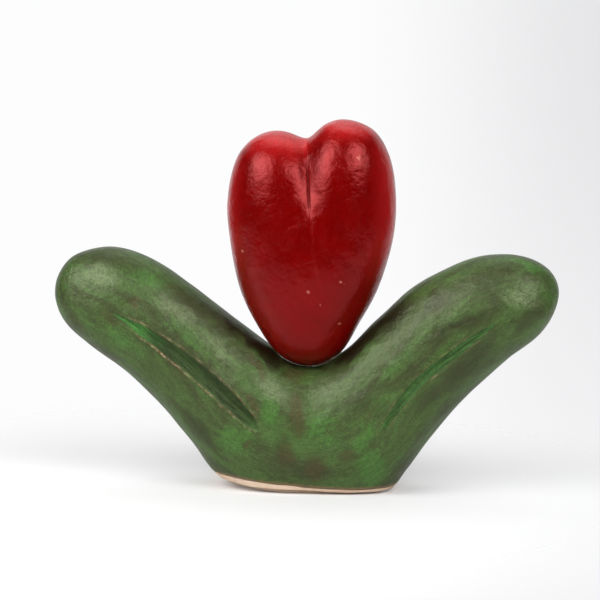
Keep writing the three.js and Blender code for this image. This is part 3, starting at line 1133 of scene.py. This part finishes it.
def red_glaze():
    shader = Shader("red_glaze")
    mottle = shader.noise(shader.place, 45, 4, 0.6, 0.5)
    color = shader.mix(shader.span(mottle, 0.35, 0.7), RED_DEEP, RED_PLAIN)
    # painted light: lighter red on the bud's top and sides
    color = shader.mix(shader.attribute("painted_light"), color, RED_PAINTED_LIGHT)
    color = shader.mix(shader.attribute("pit"), color, RED_PIT)
    # painted shade: darker red in the crease's fine cut
    color = shader.mix(shader.attribute("crease"), color, RED_CREASE_SHADE)
    roughness = shader.span(shader.noise(shader.place, 260, 4, 0.7), 0.3, 0.7, 0.15, 0.26)
    roughness = shader.add(roughness, shader.attribute("crease"), 0.4)
    normal = shader.bump(shader.noise(shader.place, 130, 2, 0.5), 0.00045)
    normal = shader.bump(shader.noise(shader.place, 420, 3, 0.6), 0.00022, Normal=normal)
    shader.surface.inputs["Specular IOR Level"].default_value = 0.8
    shader.surface.inputs["Specular Tint"].default_value = (1, 0.18, 0.18, 1)
    return shader.finish(color, roughness, normal)


def bare_clay():
    shader = Shader("bare_clay")
    grit = shader.noise(shader.place, 900, 4, 0.7)
    cloud = shader.noise(shader.place, 60, 3, 0.6)
    color = shader.mix(shader.span(cloud, 0.35, 0.7), CLAY_PALE, CLAY_WARM)
    color = shader.mix(shader.span(grit, 0.62, 0.75, 0, 0.5), color, CLAY_GRIT)
    # painted shade under the strip
    color = shader.mix(shader.attribute("undercut_shade"), color, CLAY_UNDERCUT_SHADE)
    roughness = shader.span(cloud, 0.3, 0.7, 0.8, 0.92)
    return shader.finish(color, roughness, shader.bump(grit, 0.0002))


def clear_glue():
    shader = Shader("clear_glue")
    cloud = shader.noise(shader.place, 500, 2)
    color = shader.mix(cloud, GLUE_CLEAR, GLUE_CLOUDY)
    roughness = shader.span(cloud, 0.3, 0.7, 0.05, 0.14)
    shader.surface.inputs["Transmission Weight"].default_value = 0.8
    shader.surface.inputs["IOR"].default_value = 1.46
    return shader.finish(color, roughness, shader.bump(cloud, 0.0001))


def pin_wood():
    shader = Shader("pin_wood")
    fibre = shader.noise(shader.stretch(shader.place, (1, 1, 0.06)), 2200, 4, 0.6)
    color = shader.mix(fibre, WOOD_PALE, WOOD_DARK)
    roughness = shader.span(fibre, 0.3, 0.7, 0.6, 0.75)
    return shader.finish(color, roughness, shader.bump(fibre, 0.0001))


# Studio, in metres. The floor fades out round a point beside the foot: first where the camera
# looks at it, further off where the glaze mirrors it

FLOOR_RADIUS = 2.6
FLOOR_WHITE = (0.81, 0.81, 0.812)
FLOOR_MIRRORED = (0.6, 0.6, 0.6)
FLOOR_GLOW = 0.04
FADE_CENTRE = (-0.05, 0, 0)
FADE_SEEN = (0.04, 0.3)
FADE_MIRRORED = (0.42, 0.52)

# The room's white wall behind, as (start, full, 0, strength) along Y, in light and in reflections,
# and the dark corner at the right, which fades in along X and less so low down along Z
WALL = (0.0, 0.8, 0, 0.95)
WALL_MIRRORED = (0.5, 0.85, 0, 0.85)
CORNER_X = (-0.13, -0.02)
CORNER_Z = (-0.26, -0.04, 0.06, 0.2)
WALL_COLOR = (0.98, 0.98, 0.99)
CORNER_COLOR = (0, 0, 0.02)

# Soft boxes, as [degrees to the right of the front, degrees up, size, power]
SOFT_BOXES = {
    "key_left": [-48, 38, (1.8, 1.45), 23.5],
    "key_right": [46, 39, (1.6, 1.25), 16.5],
    "top": [180, 70, (1.8, 1.2), 4.5],
}
LAMP_DISTANCE = 1.5
SOFT_BOX_LAYERS = [1, 0.78, 0.56, 0.34]
LAYER_GAP = 0.01

CAMERA_AZIMUTH = 8
CAMERA_GROUND_DISTANCE = 1.3
EYE_HEIGHT = 0.27
AIM_HEIGHT = 0.09
IMAGE_SIDE = 600
FOCAL_PIXELS = 2745.5
AXIS_PIXEL = (303.4, 301.0)


def build_floor():
    """A matt white floor that leaves only the shade round the object in view."""
    bpy.ops.mesh.primitive_circle_add(vertices=96, radius=FLOOR_RADIUS, fill_type="NGON")
    floor = bpy.context.object
    floor.name = "floor"
    shader = Shader("floor")
    surface = shader.surface
    path = shader.new("ShaderNodeLightPath").outputs
    shade = shader.mix(path["Is Glossy Ray"], FLOOR_WHITE, FLOOR_MIRRORED)
    glow = shader.math("MULTIPLY", path["Is Camera Ray"], FLOOR_GLOW)
    shader.feed(surface.inputs["Base Color"], shade)
    shader.feed(surface.inputs["Emission Strength"], glow)
    surface.inputs["Emission Color"].default_value = (1, 1, 1, 1)
    surface.inputs["Roughness"].default_value = 0.9
    surface.inputs["Specular IOR Level"].default_value = 0.1
    distance = shader.new("ShaderNodeVectorMath")
    distance.operation = "DISTANCE"
    distance.inputs[1].default_value = FADE_CENTRE
    shader.feed(distance.inputs[0], shader.place)
    away = distance.outputs["Value"]
    seen = shader.math("MULTIPLY", shader.span(away, *FADE_SEEN), path["Is Camera Ray"])
    mirrored = shader.math("MULTIPLY", shader.span(away, *FADE_MIRRORED), path["Is Glossy Ray"])
    mix = shader.new("ShaderNodeMixShader")
    shader.feed(mix.inputs[0], shader.math("ADD", seen, mirrored))
    shader.feed(mix.inputs[1], surface.outputs[0])
    shader.feed(mix.inputs[2], shader.new("ShaderNodeBsdfTransparent").outputs[0])
    shader.feed(shader.tree.nodes["Material Output"].inputs["Surface"], mix.outputs[0])
    floor.data.materials.append(shader.material)


def build_world():
    """White behind and at the sides, dim in front, as in a room with a white sweep."""
    world = bpy.data.worlds.new("studio")
    bpy.context.scene.world = world
    world.use_nodes = True
    nodes = Nodes(world.node_tree)
    background = nodes.tree.nodes["Background"]
    split = nodes.new("ShaderNodeSeparateXYZ")
    nodes.feed(split.inputs[0], nodes.new("ShaderNodeTexCoord").outputs["Generated"])
    path = nodes.new("ShaderNodeLightPath").outputs
    wall = nodes.span(split.outputs["Y"], *WALL)
    mirrored = nodes.span(split.outputs["Y"], *WALL_MIRRORED)
    strength = nodes.blend(path["Is Glossy Ray"], wall, mirrored)
    seen = nodes.math("MAXIMUM", path["Is Camera Ray"], path["Is Transmission Ray"])
    nodes.feed(background.inputs["Strength"], nodes.blend(seen, strength, 1))
    right = nodes.span(split.outputs["X"], *CORNER_X)
    high = nodes.span(split.outputs["Z"], *CORNER_Z)
    corner = nodes.math("MULTIPLY", right, high)
    nodes.feed(background.inputs["Color"], nodes.mix(corner, WALL_COLOR, CORNER_COLOR))


def add_lamp(name, azimuth, height, distance, size, power):
    """Oval lamp that faces the object, azimuth degrees to the right of the front."""
    lamp = bpy.data.lights.new(name, "AREA")
    lamp.shape = "ELLIPSE"
    lamp.size = size[0]
    lamp.size_y = size[1]
    lamp.energy = power
    made = bpy.data.objects.new(name, lamp)
    bpy.context.scene.collection.objects.link(made)
    turn = math.radians(azimuth)
    tilt = math.radians(height)
    flat = distance * math.cos(tilt)
    made.location = (flat * math.sin(turn), -flat * math.cos(turn), distance * math.sin(tilt))
    aim = Vector((0, 0, AIM_HEIGHT))
    made.rotation_euler = (made.location - aim).to_track_quat("Z", "Y").to_euler()


def add_soft_box(name, azimuth, height, size, power):
    """Smaller and smaller lamps in front of each other, so that the box fades towards its edge."""
    whole = sum(scale**2 for scale in SOFT_BOX_LAYERS)
    for layer, scale in enumerate(SOFT_BOX_LAYERS):
        distance = LAMP_DISTANCE - LAYER_GAP * layer
        part = (size[0] * scale, size[1] * scale)
        add_lamp(f"{name}_{layer}", azimuth, height, distance, part, power * scale**2 / whole)


def add_camera():
    data = bpy.data.cameras.new("camera")
    data.sensor_width = 36
    data.lens = data.sensor_width * FOCAL_PIXELS / IMAGE_SIDE
    data.shift_x = (IMAGE_SIDE / 2 - AXIS_PIXEL[0]) / IMAGE_SIDE
    data.shift_y = (AXIS_PIXEL[1] - IMAGE_SIDE / 2) / IMAGE_SIDE
    camera = bpy.data.objects.new("camera", data)
    bpy.context.scene.collection.objects.link(camera)
    turn = math.radians(CAMERA_AZIMUTH)
    camera.location = (
        CAMERA_GROUND_DISTANCE * math.sin(turn),
        -CAMERA_GROUND_DISTANCE * math.cos(turn),
        EYE_HEIGHT,
    )
    aim = Vector((0, 0, AIM_HEIGHT))
    camera.rotation_euler = (aim - camera.location).to_track_quat("-Z", "Y").to_euler()
    bpy.context.scene.camera = camera


add_camera()
build_floor()
build_world()
for box_name, box in SOFT_BOXES.items():
    add_soft_box(box_name, *box)

dress_leaf_body().data.materials.append(green_glaze())
dress_foot_slab().data.materials.append(bare_clay())
dress_bud().data.materials.append(red_glaze())
dress_glue().data.materials.append(clear_glue())
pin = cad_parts["locating_pin"]
pin.data.materials.clear()
pin.data.materials.append(pin_wood())

bpy.context.scene.view_settings.view_transform = "Standard"
